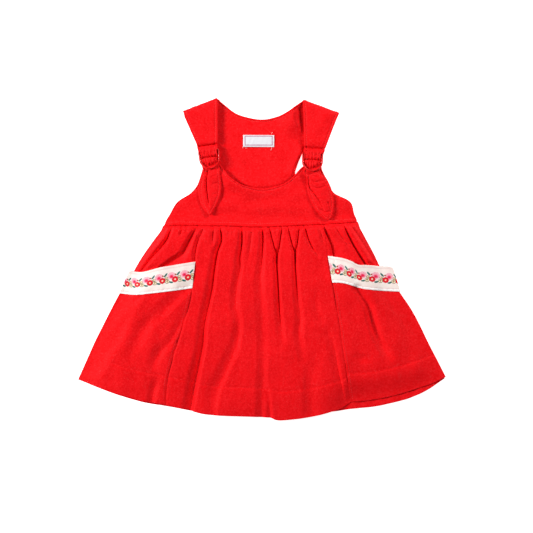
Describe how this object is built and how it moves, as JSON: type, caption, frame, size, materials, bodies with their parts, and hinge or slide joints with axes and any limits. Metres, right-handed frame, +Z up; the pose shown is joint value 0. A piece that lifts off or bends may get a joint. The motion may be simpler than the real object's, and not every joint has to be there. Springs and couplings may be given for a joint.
{
  "type": "sarafan pinafore dress",
  "caption": "Child's sleeveless pinafore dress laid flat: wide straps tied through D-rings, gathered skirt and ribbon-trimmed pockets.",
  "frame": {"origin": "centre of the bounding box, on the surface that the dress lies on", "axes": "+X to the viewer's right, +Y towards the neck, +Z up out of the surface"},
  "size_m": [0.4964, 0.434, 0.0154],
  "materials": {
    "red_cotton": "matt woven cotton",
    "woven_ribbon": "woven ribbon with small flowers",
    "label_satin": "blank satin label",
    "red_enamel": "glossy red"
  },
  "bodies": {
    "root": {"bodice_back": "red_cotton", "bodice_front": "red_cotton", "skirt_front": "red_cotton", "skirt_side_left": "red_cotton", "skirt_side_right": "red_cotton", "pocket_left": "red_cotton", "pocket_right": "red_cotton", "band_left": "woven_ribbon", "band_right": "woven_ribbon", "skirt_back": "red_cotton", "dring_left_rear": "red_enamel", "dring_left_front": "red_enamel", "dring_right_rear": "red_enamel", "dring_right_front": "red_enamel", "label": "label_satin"}
  },
  "joints": []
}
